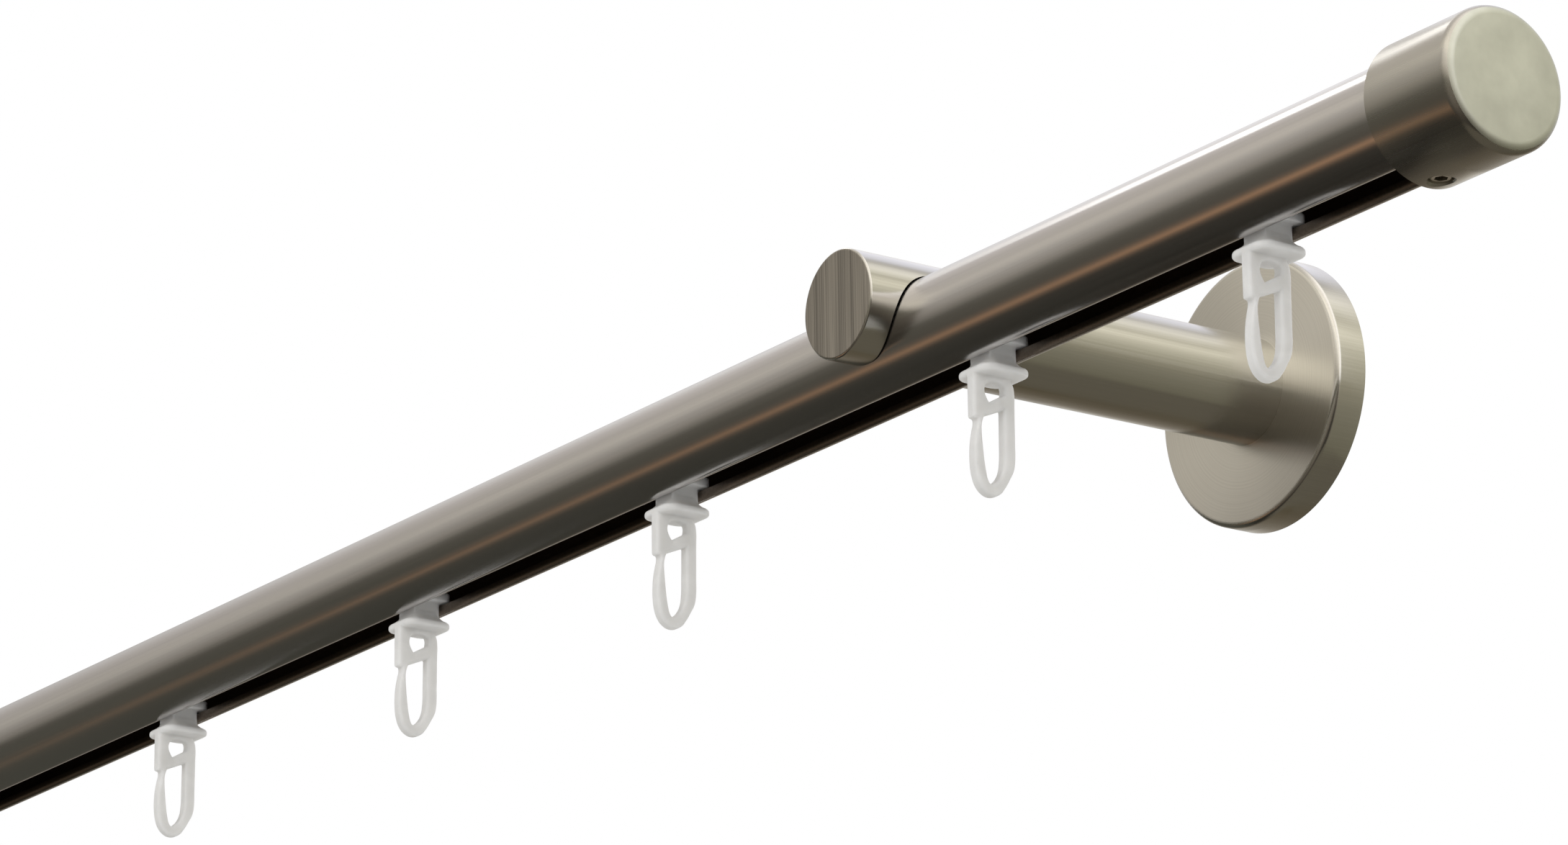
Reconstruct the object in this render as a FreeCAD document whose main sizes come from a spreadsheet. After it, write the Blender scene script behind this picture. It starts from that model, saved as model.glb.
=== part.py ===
import FreeCAD, Part
import math
import os

import Sketcher

# A round curtain track on one wall bracket. The track is a slotted round tube, closed by a cap at
# each end, and carries five moulded gliders whose loops take the curtain's hooks.
#
# Row frame, in millimetres: the origin is on the wall at the centre of the rosette's back face,
# +X runs along the track to the end cap on the viewer's right, +Y points into the wall, +Z is up.

# The driving dimensions: name, value, meaning.
DIMENSIONS = (
    ("track_diameter", 20.0, "outside diameter of the track"),
    ("track_wall", 1.2, "wall of the track"),
    ("track_right", 150.0, "from the bracket's middle to the track's right end"),
    ("track_left", 370.0, "from the bracket's middle to the track's left end"),
    ("slot_width", 6.4, "slot along the underside"),
    ("ledge_depth", 7.2, "from the track's axis down to the ledges that the gliders ride on"),
    ("lip_round", 0.4, "rounding of the slot's outer edges"),
    ("wall_distance", 81.0, "from the wall to the track's axis"),
    ("track_drop", 5.0, "from the arm's axis down to the track's axis"),
    ("arm_diameter", 19.4, "diameter of the bracket's arm"),
    ("arm_nose", 15.4, "from the track's axis to the arm's front face"),
    ("arm_chamfer", 0.4, "edge of the arm's front face"),
    ("saddle_gap", 0.3, "gap between the track and the arm's bore"),
    ("bolt_diameter", 6.0, "bolt that holds the arm to the rosette"),
    ("bolt_reach", 14.0, "length of the bolt inside the arm"),
    ("bolt_head_width", 10.0, "diameter of the bolt's head"),
    ("bolt_head_height", 2.4, "height of the bolt's head"),
    ("bolt_gap", 0.1, "gap around the bolt"),
    ("rosette_diameter", 49.0, "diameter of the rosette"),
    ("rosette_depth", 6.5, "from the wall to the rosette's front face"),
    ("rosette_rim", 2.2, "wall of the rosette's rim"),
    ("rosette_front", 2.5, "wall of the rosette's front"),
    ("rosette_chamfer", 0.6, "front edge of the rosette"),
    ("plate_gap", 0.2, "gap between the wall plate and the rosette"),
    ("plate_web", 0.8, "what is left of the plate behind the bolt's head"),
    ("plate_recess", 14.0, "diameter of the plate's recess for the bolt's head"),
    ("wall_hole_diameter", 4.5, "holes for the two wall screws"),
    ("wall_hole_spacing", 28.0, "from one wall hole to the other"),
    ("countersink", 1.8, "depth of the wall holes' countersinks"),
    ("screw_diameter", 4.0, "grub screws in the caps and the arm"),
    ("screw_gap", 0.05, "gap around a grub screw"),
    ("screw_recess", 0.5, "how far a grub screw sits below the surface"),
    ("socket_width", 2.0, "hexagon socket of a grub screw, across the flats"),
    ("socket_depth", 1.6, "depth of a grub screw's socket"),
    ("rosette_screw_diameter", 3.0, "grub screw in the rosette's rim"),
    ("rosette_screw_setback", 2.1, "from the wall to the axis of the rosette's screw"),
    ("cap_wall", 1.9, "wall of an end cap around the track"),
    ("cap_overlap", 16.6, "how far a cap reaches over the track"),
    ("cap_end", 2.9, "thickness of a cap's end wall"),
    ("cap_gap", 0.1, "gap between a cap and the track"),
    ("cap_round", 1.4, "rounding of a cap's end"),
    ("cap_mouth_chamfer", 0.3, "edge of a cap's mouth"),
    ("cap_screw_setback", 3.6, "from a cap's mouth to its screw"),
    ("stop_length", 14.0, "length of an end stop in the channel"),
    ("stop_gap", 0.2, "gap between an end stop and the channel"),
    ("stop_height", 7.0, "height of an end stop"),
    ("glider_gap", 0.3, "running gap of a glider"),
    ("neck_gap", 0.4, "gap between a glider's neck and the slot, each side"),
    ("head_length", 9.0, "length of a glider's head along the track"),
    ("head_height", 1.8, "height of a glider's head"),
    ("head_round", 1.5, "corners of a glider's head"),
    ("neck_length", 5.6, "length of a glider's neck along the track"),
    ("flange_length", 12.0, "length of a glider's flange along the track"),
    ("flange_width", 7.4, "width of a glider's flange"),
    ("flange_height", 1.7, "thickness of a glider's flange"),
    ("flange_round", 3.3, "corners of a glider's flange"),
    ("flange_edge", 0.8, "sloping lower edge of a glider's flange"),
    ("hook_thickness", 2.2, "thickness of a glider's hook"),
    ("hook_length", 21.1, "from a glider's flange to the bottom of its hook"),
    ("hook_front", 4.85, "from the middle to the front of a glider's hook"),
    ("hook_rear", 3.4, "from the middle to the rear of a glider's hook"),
    ("hook_bottom_round", 3.4, "outer corners of a hook's bottom"),
    ("front_taper", 0.5, "how far the hook's front draws in towards its bottom"),
    ("rear_taper", 1.1, "how far the hook's rear draws in towards its bottom"),
    ("rear_leg_width", 1.95, "rear leg of a hook"),
    ("bottom_width", 1.9, "bottom of a hook under the point of its gap"),
    ("front_leg_width", 1.15, "front leg of a hook"),
    ("front_leg_bulge", 13.6, "from the flange to where the front leg stands out most"),
    ("shoulder_step", 0.65, "how far the front leg's top stands behind the tab's front"),
    ("gap_front_taper", 0.6, "how far the gap's front draws in towards its point"),
    ("gap_rear_taper", 0.75, "how far the gap's rear draws in towards its point"),
    ("gap_point_height", 2.7, "height of the gap's pointed bottom"),
    ("eyelet_drop", 1.35, "from the flange to the top of the eyelet"),
    ("eyelet_height", 1.35, "rear edge of the eyelet"),
    ("eyelet_slope", 2.8, "how much lower the eyelet's front corner is than its rear corner"),
    ("tab_width", 1.85, "front tab beside the eyelet"),
    ("bar_height", 2.5, "cross bar at the rear leg"),
    ("bar_fall", 1.8, "how much lower the bar's underside is at the front"),
    ("lip_width", 0.75, "lip of the tab, in front of the leg's tip"),
    ("lip_length", 0.55, "how far the lip hangs below the bar"),
    ("latch_gap", 0.25, "seam between the lip and the leg's tip"),
    ("tip_width", 0.8, "tip of the front leg behind the lip"),
    ("hook_round", 0.5, "inner corners of a hook"),
    ("place_1", -251.0, "first glider along the track, from the bracket's middle"),
    ("place_2", -159.0, "second glider"),
    ("place_3", -71.5, "third glider"),
    ("place_4", 23.0, "fourth glider"),
    ("place_5", 95.5, "fifth glider"),
)

document = FreeCAD.newDocument("CurtainTrack")
sheet = document.addObject("Spreadsheet::Sheet", "Sizes")
for line, (alias, value, meaning) in enumerate(DIMENSIONS, start=1):
    sheet.set(f"A{line}", meaning)
    sheet.set(f"B{line}", str(value))
    sheet.setAlias(f"B{line}", alias)
document.recompute()

# Sizes that several pieces share, worked out from the sheet.
TRACK_RADIUS = "Sizes.track_diameter / 2"
CHANNEL_RADIUS = "(Sizes.track_diameter / 2 - Sizes.track_wall)"
LEDGE_HALF_WIDTH = f"sqrt({CHANNEL_RADIUS} ^ 2 - Sizes.ledge_depth ^ 2)"
SCREW_HOLE = "Sizes.screw_diameter / 2 + Sizes.screw_gap"
CAP_BORE = f"({TRACK_RADIUS} + Sizes.cap_gap)"
CAP_RADIUS = f"({CAP_BORE} + Sizes.cap_wall)"
CAVITY_DEPTH = "(Sizes.rosette_depth - Sizes.rosette_front)"
CAVITY_RADIUS = "(Sizes.rosette_diameter / 2 - Sizes.rosette_rim)"
PLATE_DEPTH = f"({CAVITY_DEPTH} - Sizes.plate_gap)"
PLATE_RADIUS = f"({CAVITY_RADIUS} - Sizes.plate_gap)"
FLANGE_TOP = "(Sizes.track_diameter / 2 + Sizes.glider_gap)"
FLANGE_UNDERSIDE = f"({FLANGE_TOP} + Sizes.flange_height)"

# The cap's rounded end is turned as short cones, from its face to its side.
CAP_ROUND_TURNS = (90, 60, 30, 0)

NEAR = 1e-4
HALF_TURN = FreeCAD.Rotation(FreeCAD.Vector(0, 0, 1), 180)


def number_of(text):
    """Value of an expression on the sheet."""
    return float(sheet.evalExpression(text))


def new_body(label, place, rotation=None):
    """A body whose origin stands at the place, three expressions."""
    body = document.addObject("PartDesign::Body", label)
    body.Label = label
    if rotation is not None:
        body.Placement = FreeCAD.Placement(FreeCAD.Vector(), rotation)
    for axis, text in zip("xyz", place):
        body.setExpression(f".Placement.Base.{axis}", text)
    return body


def new_sketch(body, role, name):
    """An empty sketch on one of the body's own origin planes."""
    sketch = body.newObject("Sketcher::SketchObject", name)
    plane = next(item for item in body.Origin.OriginFeatures if item.Role == role)
    sketch.AttachmentSupport = (plane, [""])
    sketch.MapMode = "FlatFace"
    return sketch


def raise_sketch(sketch, text):
    """Moves a sketch along its normal."""
    sketch.setExpression(".AttachmentOffset.Base.z", text)


def constrain(sketch, constraint, text):
    """Adds a constraint whose value follows an expression."""
    index = sketch.addConstraint(constraint)
    sketch.setExpression(f"Constraints[{index}]", text)


def place_point(sketch, shape, vertex, across, up):
    """Ties a sketch point to its two expressions, measured from the sketch's origin."""
    for kind, text, axis in (("DistanceX", across, -2), ("DistanceY", up, -1)):
        value = number_of(text)
        if text == "0":
            sketch.addConstraint(Sketcher.Constraint("PointOnObject", shape, vertex, axis))
        elif value > 0:
            constrain(sketch, Sketcher.Constraint(kind, -1, 1, shape, vertex, value), text)
        else:
            constrain(sketch, Sketcher.Constraint(kind, shape, vertex, -1, 1, -value), f"-({text})")


def add_circle(sketch, across, up, radius):
    """A circle with its middle and radius tied to expressions."""
    middle = FreeCAD.Vector(number_of(across), number_of(up), 0)
    size = number_of(radius)
    shape = sketch.addGeometry(Part.Circle(middle, FreeCAD.Vector(0, 0, 1), size))
    place_point(sketch, shape, 3, across, up)
    constrain(sketch, Sketcher.Constraint("Radius", shape, size), radius)


def add_outline(sketch, corners):
    """A closed outline of straight lines through corners, each a pair of expressions."""
    points = [FreeCAD.Vector(number_of(across), number_of(up), 0) for across, up in corners]
    first = sketch.GeometryCount
    for start, end in zip(points, points[1:] + points[:1]):
        sketch.addGeometry(Part.LineSegment(start, end))
    count = len(corners)
    for step, (across, up) in enumerate(corners):
        before = first + (step - 1) % count
        sketch.addConstraint(Sketcher.Constraint("Coincident", before, 2, first + step, 1))
        place_point(sketch, first + step, 1, across, up)


def add_box_outline(sketch, left, right, low, high):
    """A rectangle between four expressions."""
    add_outline(sketch, ((left, low), (right, low), (right, high), (left, high)))


def add_hexagon(sketch, across, up, width):
    """A hexagon by its width across the flats."""
    corners = []
    for step in range(6):
        angle = f"{step * 60 + 30}"
        reach = f"({width}) / sqrt(3)"
        corners.append((f"({across}) + {reach} * cos({angle})", f"({up}) + {reach} * sin({angle})"))
    add_outline(sketch, corners)


def add_flat_circle(sketch, radius, flat):
    """A circle about the sketch's origin, closed by a level line at a distance below it."""
    size = number_of(radius)
    depth = number_of(flat)
    turn = math.acos(depth / size)
    start = turn - math.pi / 2
    end = 3 * math.pi / 2 - turn
    circle = Part.Circle(FreeCAD.Vector(), FreeCAD.Vector(0, 0, 1), size)
    half = size * math.sin(turn)
    arc = sketch.addGeometry(Part.ArcOfCircle(circle, start, end))
    line = sketch.addGeometry(
        Part.LineSegment(FreeCAD.Vector(-half, -depth, 0), FreeCAD.Vector(half, -depth, 0))
    )
    sketch.addConstraint(Sketcher.Constraint("Coincident", arc, 3, -1, 1))
    sketch.addConstraint(Sketcher.Constraint("Coincident", arc, 2, line, 1))
    sketch.addConstraint(Sketcher.Constraint("Coincident", line, 2, arc, 1))
    sketch.addConstraint(Sketcher.Constraint("Horizontal", line))
    constrain(sketch, Sketcher.Constraint("Radius", arc, size), radius)
    constrain(sketch, Sketcher.Constraint("DistanceY", line, 1, -1, 1, depth), flat)


def pad(body, sketch, length, middle=False):
    """Raises a sketch along its normal, or to both sides of its plane."""
    feature = body.newObject("PartDesign::Pad", f"{sketch.Name}Pad")
    feature.Profile = sketch
    feature.Midplane = middle
    feature.setExpression("Length", length)
    document.recompute()
    return feature


def pocket(body, sketch, length=None, middle=False, backwards=False):
    """Cuts a sketch out of the body, through everything where no length is given."""
    before = body.Shape.Volume
    feature = body.newObject("PartDesign::Pocket", f"{sketch.Name}Pocket")
    feature.Profile = sketch
    feature.Midplane = middle
    feature.Reversed = backwards
    if length is None:
        feature.Type = "ThroughAll"
    else:
        feature.setExpression("Length", length)
    document.recompute()
    if body.Shape.Volume > before - NEAR:
        raise RuntimeError(f"{feature.Name} cuts nothing")
    return feature


def revolve(body, sketch, axis):
    """Turns a sketch once around one of the sketch's axes."""
    feature = body.newObject("PartDesign::Revolution", f"{sketch.Name}Turn")
    feature.Profile = sketch
    feature.ReferenceAxis = (sketch, [axis])
    feature.Angle = 360
    document.recompute()
    return feature


def dress(body, kind, base, edges, size):
    """A fillet or chamfer of one size on the named edges."""
    if not edges:
        raise RuntimeError(f"{body.Label} has no edges for its {kind.lower()}")
    feature = body.newObject(f"PartDesign::{kind}", f"{body.Name}{kind}")
    feature.Base = (base, edges)
    feature.setExpression("Radius" if kind == "Fillet" else "Size", size)
    document.recompute()
    return feature


def circle_edges(feature, axis, position, radius):
    """Names of the round edges of a radius that lie across an axis at a position."""
    names = []
    for number, edge in enumerate(feature.Shape.Edges, start=1):
        curve = edge.Curve
        if curve.TypeId != "Part::GeomCircle" or abs(curve.Radius - radius) > NEAR:
            continue
        if abs(getattr(curve.Center, axis) - position) < NEAR:
            names.append(f"Edge{number}")
    return names


def straight_edges(feature, axis, places):
    """Names of the straight edges along an axis that pass through any of the places."""
    direction = {"x": FreeCAD.Vector(1, 0, 0), "z": FreeCAD.Vector(0, 0, 1)}[axis]
    names = []
    for number, edge in enumerate(feature.Shape.Edges, start=1):
        if edge.Curve.TypeId != "Part::GeomLine" or edge.Curve.Direction.cross(direction).Length > NEAR:
            continue
        start = edge.Vertexes[0].Point
        for place in places:
            if (start - place).cross(direction).Length < NEAR:
                names.append(f"Edge{number}")
                break
    return names


def corner_edges(feature, half_length, half_width):
    """Names of the four upright edges at the corners of a centred rectangle."""
    along = number_of(half_length)
    across = number_of(half_width)
    places = [FreeCAD.Vector(x, y, 0) for x in (-along, along) for y in (-across, across)]
    return straight_edges(feature, "z", places)


def level_edges(feature, height):
    """Names of the edges that lie level at a height."""
    names = []
    for number, edge in enumerate(feature.Shape.Edges, start=1):
        box = edge.BoundBox
        if abs(box.ZMin - height) < NEAR and abs(box.ZMax - height) < NEAR:
            names.append(f"Edge{number}")
    return names


def points_across(corners):
    """Points in the plane across the track, from pairs of expressions."""
    return [FreeCAD.Vector(0, number_of(across), number_of(up)) for across, up in corners]


def make_track():
    """The slotted tube with the channel and the two ledges that the gliders ride on."""
    body = new_body("track_tube", ("-Sizes.track_left", "-Sizes.wall_distance", "-Sizes.track_drop"))
    length = "Sizes.track_left + Sizes.track_right"
    round_bar = new_sketch(body, "YZ_Plane", "TrackRound")
    add_circle(round_bar, "0", "0", TRACK_RADIUS)
    pad(body, round_bar, length)
    channel = new_sketch(body, "YZ_Plane", "TrackChannel")
    add_flat_circle(channel, CHANNEL_RADIUS, "Sizes.ledge_depth")
    pocket(body, channel, backwards=True)
    slot = new_sketch(body, "YZ_Plane", "TrackSlot")
    add_box_outline(
        slot, "-Sizes.slot_width / 2", "Sizes.slot_width / 2", f"-{TRACK_RADIUS}", "-Sizes.ledge_depth / 2"
    )
    cut = pocket(body, slot, backwards=True)
    half_slot = number_of("Sizes.slot_width / 2")
    depth = -math.sqrt(number_of(TRACK_RADIUS) ** 2 - half_slot ** 2)
    lips = [FreeCAD.Vector(0, side * half_slot, depth) for side in (-1, 1)]
    dress(body, "Fillet", cut, straight_edges(cut, "x", lips), "Sizes.lip_round")
    return body


def make_grub_screw(label, place, diameter, length, rotation=None):
    """A grub screw from its tip at the body's origin down to its socket."""
    body = new_body(label, place, rotation)
    shank = new_sketch(body, "XY_Plane", f"{label}_shank")
    add_circle(shank, "0", "0", f"({diameter}) / 2")
    solid = pad(body, shank, length)
    solid.Reversed = True
    socket = new_sketch(body, "XY_Plane", f"{label}_socket")
    raise_sketch(socket, f"-({length})")
    add_hexagon(socket, "0", "0", "Sizes.socket_width")
    pocket(body, socket, "Sizes.socket_depth", backwards=True)
    return body


def make_end(side, track_end, rotation):
    """An end cap, its grub screw and the end stop that the screw holds in the channel."""
    place = (track_end, "-Sizes.wall_distance", "-Sizes.track_drop")
    cap = new_body(f"end_cap_{side}", place, rotation)
    section = new_sketch(cap, "XZ_Plane", f"CapSection{side}")
    corners = [("-Sizes.cap_overlap", CAP_BORE), ("0", CAP_BORE), ("0", "0"), ("Sizes.cap_end", "0")]
    for turn in CAP_ROUND_TURNS:
        along = f"Sizes.cap_end - Sizes.cap_round * (1 - sin({turn}))"
        corners.append((along, f"{CAP_RADIUS} - Sizes.cap_round * (1 - cos({turn}))"))
    corners.append(("-Sizes.cap_overlap", CAP_RADIUS))
    add_outline(section, corners)
    turned = revolve(cap, section, "H_Axis")
    mouth = circle_edges(turned, "x", number_of("-Sizes.cap_overlap"), number_of(CAP_RADIUS))
    dress(cap, "Chamfer", turned, mouth, "Sizes.cap_mouth_chamfer")
    hole = new_sketch(cap, "XY_Plane", f"CapHole{side}")
    screw_place = "-Sizes.cap_overlap + Sizes.cap_screw_setback"
    add_circle(hole, screw_place, "0", SCREW_HOLE)
    pocket(cap, hole)

    stop = new_body(f"end_stop_{side}", place, rotation)
    round_stop = new_sketch(stop, "YZ_Plane", f"StopSection{side}")
    add_flat_circle(round_stop, f"{CHANNEL_RADIUS} - Sizes.stop_gap", "Sizes.ledge_depth")
    solid = pad(stop, round_stop, "Sizes.stop_length")
    solid.Reversed = True
    top = new_sketch(stop, "YZ_Plane", f"StopTop{side}")
    top_height = "(Sizes.stop_height - Sizes.ledge_depth)"
    add_box_outline(top, f"-{TRACK_RADIUS}", TRACK_RADIUS, top_height, TRACK_RADIUS)
    pocket(stop, top)

    sign = "-" if rotation is not None else ""
    screw_x = f"({track_end}) + {sign}({screw_place})"
    tip = "-Sizes.track_drop - Sizes.ledge_depth"
    length = f"{CAP_RADIUS} - Sizes.ledge_depth - Sizes.screw_recess"
    screw = make_grub_screw(
        f"cap_screw_{side}", (screw_x, "-Sizes.wall_distance", tip), "Sizes.screw_diameter", length
    )
    return [cap, stop, screw]


def make_bracket():
    """The arm with its bore around the track, and the screw through its roof."""
    arm = new_body("bracket_arm", ("0", "-Sizes.rosette_depth", "0"))
    track_y = "-(Sizes.wall_distance - Sizes.rosette_depth)"
    bar = new_sketch(arm, "XZ_Plane", "ArmRound")
    add_circle(bar, "0", "0", "Sizes.arm_diameter / 2")
    length = "Sizes.wall_distance - Sizes.rosette_depth + Sizes.arm_nose"
    solid = pad(arm, bar, length)
    front = circle_edges(solid, "y", number_of(f"-({length})"), number_of("Sizes.arm_diameter / 2"))
    dress(arm, "Chamfer", solid, front, "Sizes.arm_chamfer")
    saddle = new_sketch(arm, "YZ_Plane", "ArmSaddle")
    add_circle(saddle, track_y, "-Sizes.track_drop", f"{TRACK_RADIUS} + Sizes.saddle_gap")
    pocket(arm, saddle, middle=True)
    roof = new_sketch(arm, "XY_Plane", "ArmRoofHole")
    add_circle(roof, "0", track_y, SCREW_HOLE)
    pocket(arm, roof, backwards=True)
    thread = new_sketch(arm, "XZ_Plane", "ArmBoltHole")
    add_circle(thread, "0", "0", "Sizes.bolt_diameter / 2 + Sizes.bolt_gap")
    pocket(arm, thread, "Sizes.bolt_reach + Sizes.bolt_gap", backwards=True)

    upside_down = FreeCAD.Rotation(FreeCAD.Vector(1, 0, 0), 180)
    track_top = f"{TRACK_RADIUS} - Sizes.track_drop"
    screw_length = f"Sizes.arm_diameter / 2 - ({track_top}) - Sizes.screw_recess"
    screw = make_grub_screw(
        "rod_screw",
        ("0", "-Sizes.wall_distance", track_top),
        "Sizes.screw_diameter",
        screw_length,
        upside_down,
    )
    return [arm, screw]


def make_wall_fixing():
    """The rosette, the plate behind it, the bolt into the arm and the screw in the rim."""
    origin = ("0", "0", "0")
    rosette = new_body("rosette", origin)
    section = new_sketch(rosette, "XY_Plane", "RosetteSection")
    outside = "Sizes.rosette_diameter / 2"
    bolt_hole = "Sizes.bolt_diameter / 2 + Sizes.bolt_gap"
    corners = (
        (CAVITY_RADIUS, "0"),
        (outside, "0"),
        (outside, "-Sizes.rosette_depth"),
        (bolt_hole, "-Sizes.rosette_depth"),
        (bolt_hole, f"-{CAVITY_DEPTH}"),
        (CAVITY_RADIUS, f"-{CAVITY_DEPTH}"),
    )
    add_outline(section, corners)
    turned = revolve(rosette, section, "V_Axis")
    edge = circle_edges(turned, "y", number_of("-Sizes.rosette_depth"), number_of(outside))
    dress(rosette, "Chamfer", turned, edge, "Sizes.rosette_chamfer")
    rim_hole = new_sketch(rosette, "XY_Plane", "RosetteRimHole")
    add_circle(
        rim_hole,
        "0",
        "-Sizes.rosette_screw_setback",
        "Sizes.rosette_screw_diameter / 2 + Sizes.screw_gap",
    )
    pocket(rosette, rim_hole, backwards=True)

    plate = new_body("wall_plate", origin)
    disc = new_sketch(plate, "XZ_Plane", "PlateDisc")
    add_circle(disc, "0", "0", PLATE_RADIUS)
    pad(plate, disc, PLATE_DEPTH)
    recess = new_sketch(plate, "XZ_Plane", "PlateRecess")
    raise_sketch(recess, "Sizes.plate_web")
    add_circle(recess, "0", "0", "Sizes.plate_recess / 2")
    pocket(plate, recess, backwards=True)
    holes = new_sketch(plate, "XZ_Plane", "PlateHoles")
    hole_radius = "Sizes.wall_hole_diameter / 2"
    for height in ("Sizes.wall_hole_spacing / 2", "-Sizes.wall_hole_spacing / 2"):
        add_circle(holes, "0", height, hole_radius)
    drilled = pocket(plate, holes, backwards=True)
    mouths = circle_edges(drilled, "y", number_of(f"-{PLATE_DEPTH}"), number_of(hole_radius))
    dress(plate, "Chamfer", drilled, mouths, "Sizes.countersink")

    bolt = new_body("arm_bolt", origin)
    bolt_section = new_sketch(bolt, "XY_Plane", "BoltSection")
    shank = "Sizes.bolt_diameter / 2"
    head = "Sizes.bolt_head_width / 2"
    back = f"-({CAVITY_DEPTH} - Sizes.bolt_head_height)"
    end = "-(Sizes.rosette_depth + Sizes.bolt_reach)"
    corners = (("0", back), (head, back), (head, f"-{CAVITY_DEPTH}"), (shank, f"-{CAVITY_DEPTH}"))
    add_outline(bolt_section, corners + ((shank, end), ("0", end)))
    revolve(bolt, bolt_section, "V_Axis")
    socket = new_sketch(bolt, "XZ_Plane", "BoltSocket")
    raise_sketch(socket, f"-({back})")
    add_hexagon(socket, "0", "0", "2 * Sizes.socket_width")
    pocket(bolt, socket, "Sizes.socket_depth", backwards=True)

    upside_down = FreeCAD.Rotation(FreeCAD.Vector(1, 0, 0), 180)
    screw = make_grub_screw(
        "rosette_screw",
        ("0", "-Sizes.rosette_screw_setback", PLATE_RADIUS),
        "Sizes.rosette_screw_diameter",
        f"{outside} - {PLATE_RADIUS} - Sizes.screw_recess",
        upside_down,
    )
    return [rosette, plate, bolt, screw]


def hook_outlines():
    """The hook's outline and its eyelet, and the corners of its bottom and its gap that are rounded.

    Corners are pairs of expressions, across the track and up.
    """
    front = "-Sizes.hook_front"
    rear = "Sizes.hook_rear"
    gap_rear = "(Sizes.hook_rear - Sizes.rear_leg_width)"
    bottom = f"-({FLANGE_UNDERSIDE} + Sizes.hook_length)"
    bulge = f"-({FLANGE_UNDERSIDE} + Sizes.front_leg_bulge)"
    eyelet_top = f"-({FLANGE_UNDERSIDE} + Sizes.eyelet_drop)"
    eyelet_rear_low = f"({eyelet_top} - Sizes.eyelet_height)"
    eyelet_front_low = f"({eyelet_rear_low} - Sizes.eyelet_slope)"
    eyelet_front = "-(Sizes.hook_front - Sizes.tab_width)"
    bar_rear_low = f"({eyelet_rear_low} - Sizes.bar_height)"
    bar_front_low = f"({bar_rear_low} - Sizes.bar_fall)"
    lip_inside = "-(Sizes.hook_front - Sizes.lip_width)"
    lip_low = f"({bar_front_low} - Sizes.lip_length)"
    tip_front = f"({lip_inside} + Sizes.latch_gap)"
    tip_rear = f"({tip_front} + Sizes.tip_width)"
    tip_top = f"({bar_front_low} - Sizes.latch_gap)"
    shoulder = f"({lip_low} - Sizes.latch_gap)"
    leg_inside = "-(Sizes.hook_front - Sizes.front_leg_width)"
    middle = f"(({gap_rear} - Sizes.hook_front) / 2)"
    gap_point = f"({bottom} + Sizes.bottom_width)"
    gap_low = f"({gap_point} + Sizes.gap_point_height)"
    bottom_corners = ((f"({front} + Sizes.front_taper)", bottom), (f"({rear} - Sizes.rear_taper)", bottom))
    gap_corners = ((gap_rear, f"({gap_low} + Sizes.gap_point_height)"), (middle, gap_point))
    outer = (
        (front, f"-{FLANGE_UNDERSIDE}"),
        (front, lip_low),
        (lip_inside, lip_low),
        (lip_inside, bar_front_low),
        (gap_rear, bar_rear_low),
        gap_corners[0],
        (f"({gap_rear} - Sizes.gap_rear_taper)", gap_low),
        gap_corners[1],
        (f"({leg_inside} + Sizes.gap_front_taper)", gap_low),
        (leg_inside, bulge),
        (tip_rear, shoulder),
        (tip_rear, tip_top),
        (tip_front, tip_top),
        (tip_front, shoulder),
        (f"({front} + Sizes.shoulder_step)", shoulder),
        (front, bulge),
        *bottom_corners,
        (rear, bulge),
        (rear, f"-{FLANGE_UNDERSIDE}"),
    )
    eyelet = (
        (eyelet_front, eyelet_top),
        (gap_rear, eyelet_top),
        (gap_rear, eyelet_rear_low),
        (eyelet_front, eyelet_front_low),
    )
    return outer, eyelet, bottom_corners, gap_corners


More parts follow.
